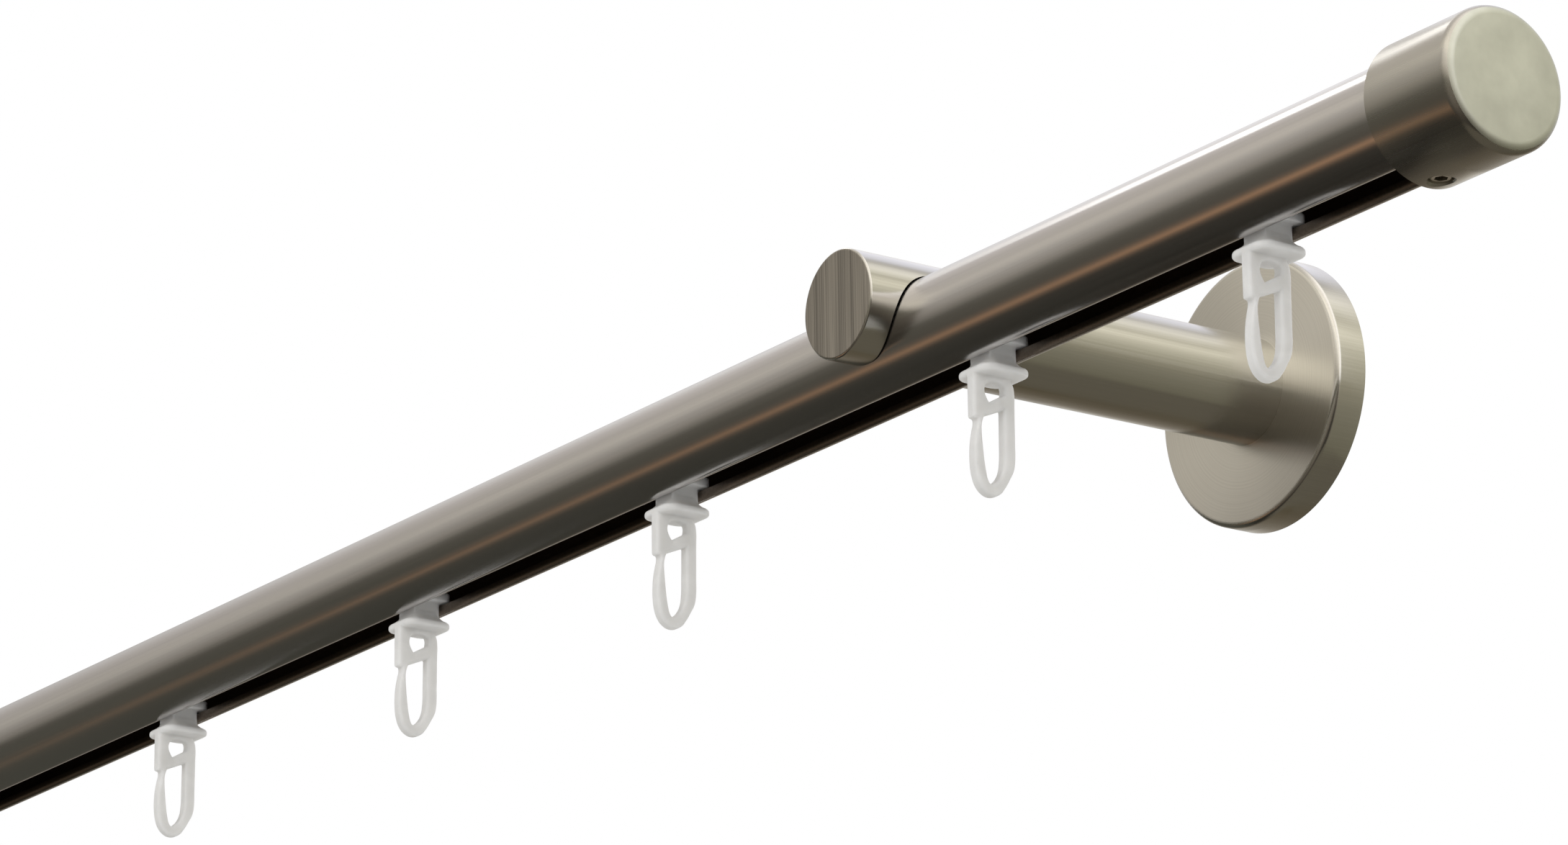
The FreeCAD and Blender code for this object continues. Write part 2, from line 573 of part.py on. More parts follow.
def make_glider(number):
    """One moulded glider: head in the channel, neck, flange and hook."""
    place = (f"Sizes.place_{number}", "-Sizes.wall_distance", "-Sizes.track_drop")
    body = new_body(f"glider_{number}", place)
    head = new_sketch(body, "XY_Plane", f"GliderHead{number}")
    head_low = "(Sizes.ledge_depth - Sizes.glider_gap)"
    head_half = f"({LEDGE_HALF_WIDTH} - Sizes.glider_gap)"
    raise_sketch(head, f"-{head_low}")
    add_box_outline(head, "-Sizes.head_length / 2", "Sizes.head_length / 2", f"-{head_half}", head_half)
    head_pad = pad(body, head, "Sizes.head_height")
    neck = new_sketch(body, "XY_Plane", f"GliderNeck{number}")
    raise_sketch(neck, f"-{FLANGE_TOP}")
    neck_half = "(Sizes.slot_width / 2 - Sizes.neck_gap)"
    add_box_outline(neck, "-Sizes.neck_length / 2", "Sizes.neck_length / 2", f"-{neck_half}", neck_half)
    pad(body, neck, f"{FLANGE_TOP} - {head_low}")
    flange = new_sketch(body, "XY_Plane", f"GliderFlange{number}")
    raise_sketch(flange, f"-{FLANGE_UNDERSIDE}")
    add_box_outline(
        flange,
        "-Sizes.flange_length / 2",
        "Sizes.flange_length / 2",
        "-Sizes.flange_width / 2",
        "Sizes.flange_width / 2",
    )
    plain = pad(body, flange, "Sizes.flange_height")
    flange_corners = corner_edges(plain, "Sizes.flange_length / 2", "Sizes.flange_width / 2")
    plain = dress(body, "Fillet", plain, flange_corners, "Sizes.flange_round")
    underside = level_edges(plain, number_of(f"-{FLANGE_UNDERSIDE}"))
    plain = dress(body, "Chamfer", plain, underside, "Sizes.flange_edge")
    head_corners = corner_edges(plain, "Sizes.head_length / 2", head_half)
    dress(body, "Fillet", plain, head_corners, "Sizes.head_round")
    outer, eyelet, bottom_corners, gap_corners = hook_outlines()
    hook = new_sketch(body, "YZ_Plane", f"GliderHook{number}")
    add_outline(hook, outer)
    add_outline(hook, eyelet)
    whole = pad(body, hook, "Sizes.hook_thickness", middle=True)
    outside_edges = straight_edges(whole, "x", points_across(bottom_corners))
    whole = dress(body, "Fillet", whole, outside_edges, "Sizes.hook_bottom_round")
    inside_edges = straight_edges(whole, "x", points_across(gap_corners + eyelet))
    dress(body, "Fillet", whole, inside_edges, "Sizes.hook_round")
    return body


pieces = [make_track()]
pieces += make_end("right", "Sizes.track_right", None)
pieces += make_end("left", "-Sizes.track_left", HALF_TURN)
pieces += make_bracket()
pieces += make_wall_fixing()
glider_count = sum(alias.startswith("place_") for alias, value, meaning in DIMENSIONS)
for place_number in range(1, glider_count + 1):
    pieces.append(make_glider(place_number))
document.recompute()

# Nothing is written unless every object and every piece is sound.
for item in document.Objects:
    if "Invalid" in item.State or "Error" in item.State:
        raise RuntimeError(f"{item.Label} failed: {item.State}")
for piece in pieces:
    if piece.Shape.isNull() or not piece.Shape.isValid() or len(piece.Shape.Solids) != 1:
        raise RuntimeError(f"{piece.Label} isn't one sound solid")

os.makedirs("parts", exist_ok=True)
for piece in pieces:
    piece.Shape.exportStep(os.path.join("parts", f"{piece.Label}.step"))
    box = piece.Shape.BoundBox
    print(f"{piece.Label}: {piece.Shape.Volume:.1f} mm3, X {box.XMin:.1f} to {box.XMax:.1f}")
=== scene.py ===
from math import acos, asin, cos, degrees, pi, radians, sin, sqrt

import bpy
from mathutils import Matrix, Vector


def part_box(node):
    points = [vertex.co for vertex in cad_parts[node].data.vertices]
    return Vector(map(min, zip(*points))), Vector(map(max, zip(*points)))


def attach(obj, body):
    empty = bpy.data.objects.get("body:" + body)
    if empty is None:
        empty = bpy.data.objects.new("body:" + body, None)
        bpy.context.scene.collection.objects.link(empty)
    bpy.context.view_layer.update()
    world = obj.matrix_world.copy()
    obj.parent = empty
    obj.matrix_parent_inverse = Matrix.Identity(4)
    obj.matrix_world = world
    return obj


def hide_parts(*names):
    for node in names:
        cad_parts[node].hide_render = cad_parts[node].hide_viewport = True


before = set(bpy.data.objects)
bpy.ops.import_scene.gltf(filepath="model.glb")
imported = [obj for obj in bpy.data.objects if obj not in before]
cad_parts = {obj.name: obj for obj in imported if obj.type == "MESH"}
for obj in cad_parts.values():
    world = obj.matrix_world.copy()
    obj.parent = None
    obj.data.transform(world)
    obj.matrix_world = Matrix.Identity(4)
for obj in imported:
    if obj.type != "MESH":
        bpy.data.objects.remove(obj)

# A round stainless curtain track on one wall bracket, with five milky nylon gliders.
# Metres throughout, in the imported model's frame.

MM = 0.001
ALONG_X = Vector((1, 0, 0))
ALONG_Y = Vector((0, 1, 0))
UP = Vector((0, 0, 1))
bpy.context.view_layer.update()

TUBE = "track_tube"
ARM = "bracket_arm"
ROSETTE = "rosette"
GLIDERS = sorted(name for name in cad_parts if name.startswith("glider_"))
CAPS = sorted(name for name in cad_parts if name.startswith("end_cap_"))

tube_low, tube_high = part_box(TUBE)
tube_middle_y = (tube_low.y + tube_high.y) / 2
tube_radius = (tube_high.y - tube_low.y) / 2
tube_middle_z = tube_high.z - tube_radius
rosette_low, rosette_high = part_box(ROSETTE)
rosette_centre = (rosette_low + rosette_high) / 2


# Materials

# A noise pattern hardly leaves this range, so it is stretched from it
NOISE_LOW = 0.3
NOISE_HIGH = 0.7
# The two colours of a mix of colours, and what it gives, as Blender counts its sockets
MIX_FIRST = 6
MIX_SECOND = 7
MIXED = 2


def colour(hex_text):
    """A hex colour as linear red, green, blue and alpha."""
    parts = [int(hex_text[i:i + 2], 16) / 255 for i in (1, 3, 5)]
    return tuple(c / 12.92 if c <= 0.04045 else ((c + 0.055) / 1.055) ** 2.4 for c in parts) + (1.0,)


def add_node(tree, kind, settings=None, links=None):
    """A node with its settings, its socket values and its incoming links."""
    node = tree.nodes.new(kind)
    for name, value in (settings or {}).items():
        if isinstance(name, str) and hasattr(node, name):
            setattr(node, name, value)
        else:
            node.inputs[name].default_value = value
    for name, source in (links or {}).items():
        tree.links.new(source, node.inputs[name])
    return node


def new_material(name):
    """An empty node material with its output."""
    material = bpy.data.materials.new(name)
    material.use_nodes = True
    tree = material.node_tree
    tree.nodes.clear()
    output = tree.nodes.new("ShaderNodeOutputMaterial")
    return material, tree, output


def mottled(tree, tone, pattern, darkest, lightest):
    """One tone, made darker and lighter by a noise pattern."""
    shade = add_node(
        tree, "ShaderNodeMapRange",
        {"From Min": NOISE_LOW, "From Max": NOISE_HIGH, "To Min": darkest, "To Max": lightest},
        {"Value": pattern},
    ).outputs[0]
    return add_node(
        tree, "ShaderNodeVectorMath", {"operation": "SCALE", 0: colour(tone)[:3]}, {"Scale": shade}
    ).outputs[0]


def streaks(tree, along, coarse_mm, fine_mm, length_mm):
    """Two sizes of brushing lines that run along one axis, as a grey value."""
    place = add_node(tree, "ShaderNodeTexCoord").outputs["Object"]
    fields = []
    for width in (coarse_mm, fine_mm):
        scale = [1 / (width * MM)] * 3
        scale["xyz".index(along)] = 1 / (length_mm * MM)
        turned = add_node(tree, "ShaderNodeMapping", {"Scale": scale}, {"Vector": place})
        fields.append(add_node(
            tree, "ShaderNodeTexNoise", {"Scale": 1.0, "Detail": 3.0, "Roughness": 0.6},
            {"Vector": turned.outputs["Vector"]},
        ).outputs["Fac"])
    half_fine = add_node(tree, "ShaderNodeMath", {"operation": "MULTIPLY", 1: 0.5}, {0: fields[1]})
    return add_node(
        tree, "ShaderNodeMath", {"operation": "MULTIPLY_ADD", 1: 0.5},
        {0: fields[0], 2: half_fine.outputs[0]},
    ).outputs[0]


def brushed_stainless(name, along, spread, tone, roughness, contrast, coarse_mm=0.5):
    """Stainless steel with fine brushing lines along one axis, and a still finer polish across
    them that draws out what it mirrors along the direction given as spread. The real lines are
    some hundredths of a millimetre wide and are drawn at 0.16 mm and more, so that they show."""
    material, tree, output = new_material(name)
    lines = streaks(tree, along, coarse_mm, 0.16, 90)
    base = mottled(tree, tone, lines, 1 - contrast, 1 + contrast / 2)
    rough = add_node(
        tree, "ShaderNodeMapRange",
        {
            "From Min": NOISE_LOW, "From Max": NOISE_HIGH,
            "To Min": roughness - 0.03, "To Max": roughness + 0.03,
        },
        {"Value": lines},
    ).outputs[0]
    bump = add_node(tree, "ShaderNodeBump", {"Strength": 0.1, "Distance": 0.006 * MM}, {"Height": lines})
    steel = add_node(
        tree, "ShaderNodeBsdfPrincipled", {"Metallic": 1.0, "Anisotropic": 0.8, "Tangent": spread},
        {"Base Color": base, "Roughness": rough, "Normal": bump.outputs["Normal"]},
    )
    tree.links.new(steel.outputs[0], output.inputs["Surface"])
    return material


def blasted_stainless(name, tone):
    """Stainless steel blasted with fine beads: an even, silky matt, a little cloudy. The real
    grain of a tenth of a millimetre is drawn at 0.35 mm, so that it shows."""
    material, tree, output = new_material(name)
    place = add_node(tree, "ShaderNodeTexCoord").outputs["Object"]
    grain = add_node(
        tree, "ShaderNodeTexNoise", {"Scale": 1 / (0.35 * MM), "Detail": 2.0}, {"Vector": place}
    ).outputs["Fac"]
    cloud = add_node(
        tree, "ShaderNodeTexNoise", {"Scale": 1 / (6 * MM), "Detail": 4.0}, {"Vector": place}
    ).outputs["Fac"]
    base = mottled(tree, tone, cloud, 0.90, 1.08)
    bump = add_node(tree, "ShaderNodeBump", {"Strength": 0.25, "Distance": 0.02 * MM}, {"Height": grain})
    steel = add_node(
        tree, "ShaderNodeBsdfPrincipled", {"Metallic": 1.0, "Roughness": 0.5},
        {"Base Color": base, "Normal": bump.outputs["Normal"]},
    )
    tree.links.new(steel.outputs[0], output.inputs["Surface"])
    return material


def turned_stainless(name, tone, centre):
    """Stainless steel faced on a lathe: rings too fine to see one by one, which spread each
    light into a wedge from the middle outwards."""
    material, tree, output = new_material(name)
    place = add_node(tree, "ShaderNodeTexCoord").outputs["Object"]
    offset = add_node(tree, "ShaderNodeVectorMath", {"operation": "SUBTRACT", 1: centre}, {0: place})
    flat = add_node(
        tree, "ShaderNodeVectorMath", {"operation": "MULTIPLY", 1: (1, 0, 1)}, {0: offset.outputs[0]}
    )
    radial = add_node(tree, "ShaderNodeVectorMath", {"operation": "NORMALIZE"}, {0: flat.outputs[0]})
    distance = add_node(tree, "ShaderNodeVectorMath", {"operation": "LENGTH"}, {0: flat.outputs[0]})
    ring_place = add_node(tree, "ShaderNodeCombineXYZ", {}, {"X": distance.outputs["Value"]})
    rings = add_node(
        tree, "ShaderNodeTexNoise", {"Scale": 1 / (0.3 * MM), "Detail": 2.0},
        {"Vector": ring_place.outputs[0]},
    ).outputs["Fac"]
    base = mottled(tree, tone, rings, 0.94, 1.05)
    steel = add_node(
        tree, "ShaderNodeBsdfPrincipled", {"Metallic": 1.0, "Roughness": 0.31, "Anisotropic": 0.85},
        {"Base Color": base, "Tangent": radial.outputs[0]},
    )
    tree.links.new(steel.outputs[0], output.inputs["Surface"])
    return material


def moulded_nylon(name):
    """Natural nylon from a mould: milky, lets a little light through, faintly glossy, with soft
    flow marks some millimetres apart."""
    material, tree, output = new_material(name)
    place = add_node(tree, "ShaderNodeTexCoord").outputs["Object"]
    flow = add_node(
        tree, "ShaderNodeTexNoise", {"Scale": 1 / (5 * MM), "Detail": 3.0, "Distortion": 0.6},
        {"Vector": place},
    ).outputs["Fac"]
    tone = add_node(
        tree, "ShaderNodeMix",
        {"data_type": "RGBA", MIX_FIRST: colour("#cdccca"), MIX_SECOND: colour("#e6e5e3")},
        {"Factor": flow},
    )
    fine = add_node(
        tree, "ShaderNodeTexNoise", {"Scale": 1 / (0.6 * MM), "Detail": 2.0}, {"Vector": place}
    ).outputs["Fac"]
    bump = add_node(tree, "ShaderNodeBump", {"Strength": 0.15, "Distance": 0.03 * MM}, {"Height": fine})
    nylon = add_node(
        tree, "ShaderNodeBsdfPrincipled",
        {
            "Roughness": 0.38,
            "IOR": 1.53,
            "Subsurface Weight": 0.9,
            "Subsurface Radius": (3.0 * MM, 2.9 * MM, 2.8 * MM),
            "Subsurface Scale": 1.0,
        },
        {"Base Color": tone.outputs[MIXED], "Normal": bump.outputs["Normal"]},
    )
    tree.links.new(nylon.outputs[0], output.inputs["Surface"])
    return material


def plain_finish(name, tone, metallic, roughness, grain_mm):
    """Small hidden parts: one tone with a fine uneven grain."""
    material, tree, output = new_material(name)
    place = add_node(tree, "ShaderNodeTexCoord").outputs["Object"]
    grain = add_node(
        tree, "ShaderNodeTexNoise", {"Scale": 1 / (grain_mm * MM), "Detail": 3.0}, {"Vector": place}
    ).outputs["Fac"]
    base = mottled(tree, tone, grain, 0.85, 1.1)
    bump = add_node(tree, "ShaderNodeBump", {"Strength": 0.2, "Distance": 0.02 * MM}, {"Height": grain})
    body = add_node(
        tree, "ShaderNodeBsdfPrincipled", {"Metallic": metallic, "Roughness": roughness},
        {"Base Color": base, "Normal": bump.outputs["Normal"]},
    )
    tree.links.new(body.outputs[0], output.inputs["Surface"])
    return material


track_steel = brushed_stainless("brushed stainless along the track", "x", ALONG_X, "#c6c4c3", 0.2, 0.05)
arm_steel = brushed_stainless("brushed stainless along the arm", "y", ALONG_Y, "#cac9c4", 0.2, 0.08)
# The arm's sawn and brushed end shows coarse bands, light and dark
face_steel = brushed_stainless(
    "brushed stainless across the arm's end", "z", ALONG_X, "#b0aba3", 0.30, 0.9, coarse_mm=2.6
)
cap_steel = brushed_stainless("satin stainless along the cap", "x", ALONG_X, "#bab8b2", 0.26, 0.04)
inside_steel = plain_finish("unpolished stainless inside the track", "#8a7f74", 1.0, 0.45, 0.4)
cap_face_steel = blasted_stainless("bead blasted stainless", "#cacdc4")
rosette_steel = turned_stainless("turned stainless", "#e6e4dc", rosette_centre)
nylon = moulded_nylon("milky moulded nylon")
screw_steel = plain_finish("zinc plated screw steel", "#d2cec6", 1.0, 0.3, 0.5)
zinc_steel = plain_finish("zinc plated steel", "#a9abad", 1.0, 0.4, 1.5)
stop_plastic = plain_finish("moulded dark acetal", "#2a2a2b", 0.0, 0.5, 0.8)


# Modelling helpers

# Points nearer to each other than this are one point: in a turned piece, and in a packed or drawn one
SAME_POINT = 0.001 * MM
SAME_DRAWN_POINT = 0.002 * MM
# Neighbouring faces that turn less than this shade as one surface, or are made one flat face
SMOOTH_ANGLE = radians(30)
FLAT_ANGLE = radians(0.5)


def deselect_all():
    bpy.ops.object.select_all(action="DESELECT")


def pick(piece):
    """One piece selected alone and active."""
    deselect_all()
    piece.select_set(True)
    bpy.context.view_layer.objects.active = piece


def start_edit(piece):
    """Edit mode on one piece alone, with nothing selected."""
    pick(piece)
    bpy.ops.object.mode_set(mode="EDIT")
    bpy.ops.mesh.select_all(action="DESELECT")


def end_edit():
    bpy.ops.object.mode_set(mode="OBJECT")


def face_outwards(piece):
    """Turns all faces of a closed piece outwards."""
    start_edit(piece)
    bpy.ops.mesh.select_all(action="SELECT")
    bpy.ops.mesh.normals_make_consistent(inside=False)
    end_edit()


def line_piece(name, points, closed):
    """A drawn line through points, to be spun or extruded."""
    count = len(points)
    edges = [(i, (i + 1) % count) for i in range(count if closed else count - 1)]
    mesh = bpy.data.meshes.new(name)
    mesh.from_pydata(points, edges, [])
    piece = bpy.data.objects.new(name, mesh)
    bpy.context.scene.collection.objects.link(piece)
    return piece


def spun(name, profile, centre, axis, steps):
    """Turns a profile of (distance along the axis, radius) pairs once around the axis."""
    direction = Vector(axis)
    across = ALONG_X if abs(direction.z) > 0.5 else UP
    points = [centre + direction * along + across * radius for along, radius in profile]
    piece = line_piece(name, points, False)
    start_edit(piece)
    bpy.ops.mesh.select_all(action="SELECT")
    bpy.ops.mesh.spin(steps=steps, angle=2 * pi, center=centre, axis=direction, use_auto_merge=True)
    bpy.ops.mesh.select_all(action="SELECT")
    bpy.ops.mesh.remove_doubles(threshold=SAME_POINT)
    bpy.ops.mesh.normals_make_consistent(inside=False)
    end_edit()
    return piece


def arc_points(centre_a, centre_b, radius, start, end, steps):
    """Points of an arc in a plane, angles in degrees."""
    turns = [radians(start + (end - start) * i / steps) for i in range(steps + 1)]
    return [(centre_a + radius * cos(t), centre_b + radius * sin(t)) for t in turns]


def cut(piece, cutter):
    """Cuts a closed shape out of a piece."""
    cutting = piece.modifiers.new("Cut", "BOOLEAN")
    cutting.operation = "DIFFERENCE"
    cutting.solver = "EXACT"
    cutting.object = cutter
    pick(piece)
    bpy.ops.object.modifier_apply(modifier="Cut")
    bpy.data.objects.remove(cutter)


def rounded_hole(centre, outward, radius, edge, depth):
    """A round cutter with a flared mouth, which starts at a surface point."""
    profile = [(edge, 0.0), (edge, radius + 2 * edge), (-edge, radius), (-depth, radius), (-depth, 0.0)]
    return spun("hole", profile, centre, outward, steps=64)


def true_normals(piece, turned_surfaces):
    """Normals as on the real round surfaces, so that faces cut by a curve shade evenly. A surface
    is its axis point, its axis, its radius and 1 for a shaft or -1 for a bore."""
    mesh = piece.data
    mesh.polygons.foreach_set("use_smooth", [True] * len(mesh.polygons))
    slack = 0.02 * MM
    same_way = 0.97
    normals = []
    for polygon in mesh.polygons:
        for number in polygon.vertices:
            place = mesh.vertices[number].co
            normal = polygon.normal.copy()
            for centre, axis, radius, facing in turned_surfaces:
                out = place - centre
                out = out - axis * out.dot(axis)
                turned = out.normalized() * facing
                if abs(out.length - radius) < slack and polygon.normal.dot(turned) > same_way:
                    normal = turned
                    break
            normals.append(normal)
    mesh.normals_split_custom_set(normals)


def smooth(piece):
    pick(piece)
    bpy.ops.object.shade_smooth_by_angle(angle=SMOOTH_ANGLE)


def finish_piece(piece, body, slot, node, *materials):
    """Materials, body and the node that the piece stands for; slot is not used."""
    piece.data.materials.clear()
    for material in materials:
        piece.data.materials.append(material)
    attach(piece, body)
    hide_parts(node)


def merged_copy(name, node):
    """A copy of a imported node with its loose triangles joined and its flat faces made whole."""
    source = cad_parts[node]
    piece = bpy.data.objects.new(name, source.data.copy())
    bpy.context.scene.collection.objects.link(piece)
    start_edit(piece)
    bpy.ops.mesh.select_all(action="SELECT")
    bpy.ops.mesh.remove_doubles(threshold=SAME_DRAWN_POINT)
    bpy.ops.mesh.dissolve_limited(angle_limit=FLAT_ANGLE)
    end_edit()
    return piece


# The track: its section drawn once and drawn out along X

WALL = 1.2 * MM
LEDGE = 7.2 * MM
SLOT_HALF = 3.2 * MM
LIP_ROUND = 0.9 * MM
LEDGE_ROUND = 0.2 * MM
# Steps round the tube, one of the slot's lips and a ledge's edge
TUBE_STEPS = 144
LIP_STEPS = 12
LEDGE_STEPS = 3
END_SLACK = 0.01 * MM
# Faces deeper than this below the tube's outside are inside it, and unpolished
POLISHED_DEPTH = 0.25 * MM


def circle_part(radius, start, end):
    """Points round the tube's axis, from one turn to another."""
    turns = [start + (end - start) * i / TUBE_STEPS for i in range(TUBE_STEPS + 1)]
    return [(radius * cos(t), radius * sin(t)) for t in turns]


def track_section():
    """Closed outline of the track, across and up from its axis, in order."""
    inner = tube_radius - WALL
    lip_across = SLOT_HALF + LIP_ROUND
    lip_down = -sqrt((tube_radius - LIP_ROUND) ** 2 - lip_across ** 2)
    slot_turn = asin(lip_across / (tube_radius - LIP_ROUND))
    lip_start = 270 - degrees(slot_turn)
    outside = circle_part(tube_radius, -pi / 2 + slot_turn, 3 * pi / 2 - slot_turn)
    ledge_turn = acos(LEDGE / inner)
    inside = circle_part(inner, 3 * pi / 2 - ledge_turn, -pi / 2 + ledge_turn)
    left_lip = arc_points(-lip_across, lip_down, LIP_ROUND, lip_start, 360, LIP_STEPS)[1:]
    right_lip = arc_points(lip_across, lip_down, LIP_ROUND, 180, 540 - lip_start, LIP_STEPS)[:-1]
    top_across = SLOT_HALF + LEDGE_ROUND
    top_down = -LEDGE - LEDGE_ROUND
    left_top = arc_points(-top_across, top_down, LEDGE_ROUND, 0, 90, LEDGE_STEPS)
    right_top = arc_points(top_across, top_down, LEDGE_ROUND, 90, 180, LEDGE_STEPS)
    return outside + left_lip + left_top + inside + right_top + right_lip


def make_track():
    section = [
        (tube_low.x, tube_middle_y + across, tube_middle_z + up) for across, up in track_section()
    ]
    piece = line_piece("track", section, True)
    start_edit(piece)
    bpy.ops.mesh.select_all(action="SELECT")
    length = tube_high.x - tube_low.x
    bpy.ops.mesh.extrude_region_move(TRANSFORM_OT_translate={"value": (length, 0, 0)})
    end_edit()
    for end in (tube_low.x, tube_high.x):
        start_edit(piece)
        bpy.ops.mesh.select_mode(type="VERT")
        end_edit()
        for vertex in piece.data.vertices:
            vertex.select = abs(vertex.co.x - end) < END_SLACK
        bpy.ops.object.mode_set(mode="EDIT")
        bpy.ops.mesh.edge_face_add()
        end_edit()
    face_outwards(piece)
    smooth(piece)
    finish_piece(piece, "track", "track", TUBE, track_steel, inside_steel)
    for polygon in piece.data.polygons:
        out = Vector((0, polygon.center.y - tube_middle_y, polygon.center.z - tube_middle_z))
        if abs(polygon.normal.x) < 0.5 and out.length < tube_radius - POLISHED_DEPTH:
            polygon.material_index = 1


make_track()


# The end caps: turned cups with a softly rounded end

CAP_ROUND = 1.8 * MM
# How far the blasted finish of the flat end reaches into its rounding
FACE_REACH = 0.4 * MM
MOUTH_EDGE = 0.3 * MM
CAP_BORE_GAP = 0.1 * MM
SCREW_HOLE = 2.05 * MM
HOLE_EDGE = 0.4 * MM
# Deeper than a cap's wall, less than to its other side
CAP_HOLE_DEPTH = 3 * MM


def make_cap(node):
    low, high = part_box(node)
    outward = 1 if low.x > 0 else -1
    face = high.x if outward > 0 else low.x
    length = high.x - low.x
    radius = (high.z - low.z) / 2
    bore = tube_radius + CAP_BORE_GAP
    tube_end = tube_high.x if outward > 0 else tube_low.x
    end_wall = abs(face - tube_end)
    centre = Vector((face, tube_middle_y, tube_middle_z))
    profile = [(0.0, 0.0), (0.0, radius * 0.5), (0.0, radius - CAP_ROUND)]
    profile += arc_points(-CAP_ROUND, radius - CAP_ROUND, CAP_ROUND, start=10, end=90, steps=10)
    profile += [(-length + MOUTH_EDGE, radius), (-length, radius - MOUTH_EDGE), (-length, bore)]
    profile += [(-end_wall, bore), (-end_wall, 0.0)]
    piece = spun(node.replace("end_cap", "cap"), profile, centre, (outward, 0, 0), steps=256)
    screw_low, screw_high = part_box(node.replace("end_cap", "cap_screw"))
    screw_x = (screw_low.x + screw_high.x) / 2
    mouth = Vector((screw_x, tube_middle_y, low.z))
    cut(piece, rounded_hole(mouth, -UP, SCREW_HOLE, HOLE_EDGE, CAP_HOLE_DEPTH))
    smooth(piece)
    finish_piece(piece, "track", "cap", node, cap_steel, cap_face_steel)
    reach = face - outward * FACE_REACH
    for polygon in piece.data.polygons:
        if (polygon.center.x - reach) * outward > 0:
            polygon.material_index = 1


for cap_node in CAPS:
    make_cap(cap_node)


# The bracket: a turned arm with the track's saddle cut through it, and a turned, hollow rosette

ARM_EDGE = 0.45 * MM
SADDLE_GAP = 0.3 * MM
# The arm's front end lies no deeper than this, and a face whose normal's Y is below this faces front
FRONT_DEPTH = 0.1 * MM
FACES_FRONT = -0.9


def make_arm():
    low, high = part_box(ARM)
    radius = (high.x - low.x) / 2
    length = high.y - low.y
    front = Vector((0, low.y, (low.z + high.z) / 2))
    profile = [(0.0, 0.0), (0.0, radius * 0.5), (0.0, radius - ARM_EDGE)]
    profile += arc_points(ARM_EDGE, radius - ARM_EDGE, ARM_EDGE, start=168, end=90, steps=6)
    profile += [(length, radius), (length, 0.0)]
    piece = spun("arm", profile, front, ALONG_Y, steps=256)
    tube_axis = Vector((0, tube_middle_y, tube_middle_z))
    saddle_radius = tube_radius + SADDLE_GAP
    reach = 2 * radius
    saddle = [(-reach, 0.0), (-reach, saddle_radius), (reach, saddle_radius), (reach, 0.0)]
    cut(piece, spun("saddle", saddle, tube_axis, ALONG_X, steps=360))
    roof = Vector((0, tube_middle_y, high.z))
    cut(piece, rounded_hole(roof, UP, SCREW_HOLE, HOLE_EDGE, 2 * radius))
    true_normals(piece, (
        (front, ALONG_Y, radius, 1),
        (tube_axis, ALONG_X, saddle_radius, -1),
        (roof, UP, SCREW_HOLE, -1),
    ))
    finish_piece(piece, "track", "bracket", ARM, arm_steel, face_steel)
    for polygon in piece.data.polygons:
        if polygon.normal.y < FACES_FRONT and polygon.center.y < low.y + FRONT_DEPTH:
            polygon.material_index = 1


ROSETTE_EDGE = 1.1 * MM
ROSETTE_RIM = 2.2 * MM
ROSETTE_CAVITY = 4.0 * MM
BOLT_HOLE = 3.1 * MM
SCREW_GAP = 0.05 * MM
RIM_HOLE_EDGE = 0.25 * MM


def make_rosette():
    radius = (rosette_high.x - rosette_low.x) / 2
    front = rosette_low.y
    depth = rosette_high.y - rosette_low.y
    centre = Vector((0, front, rosette_centre.z))
    cavity = depth - ROSETTE_CAVITY
    profile = [(cavity, BOLT_HOLE), (0, BOLT_HOLE), (0, radius * 0.5), (0, radius - ROSETTE_EDGE)]
    profile += arc_points(ROSETTE_EDGE, radius - ROSETTE_EDGE, ROSETTE_EDGE, start=170, end=90, steps=6)
    profile += [(depth, radius), (depth, radius - ROSETTE_RIM), (cavity, radius - ROSETTE_RIM)]
    profile += [(cavity, BOLT_HOLE)]
    piece = spun("rosette_disc", profile, centre, ALONG_Y, steps=160)
    screw_low, screw_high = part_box("rosette_screw")
    screw_middle = (screw_low + screw_high) / 2
    mouth = Vector((screw_middle.x, screw_middle.y, rosette_high.z))
    screw_hole = (screw_high.x - screw_low.x) / 2 + SCREW_GAP
    cut(piece, rounded_hole(mouth, UP, screw_hole, RIM_HOLE_EDGE, 2 * ROSETTE_RIM))
    smooth(piece)
    finish_piece(piece, "track", "rosette", ROSETTE, rosette_steel, arm_steel)
    for polygon in piece.data.polygons:
        if polygon.normal.y > FACES_FRONT:
            polygon.material_index = 1


make_arm()
make_rosette()


# The gliders: one moulding with soft edges, and its copies. The outlines of its hook are drawn
# in millimetres, across and up from the track's axis, from the tab down the latch and round.
# Their points were read by eye off an enlarged photograph, turned into millimetres by a scratch
# script through the fitted camera, and then rounded and moved by hand.

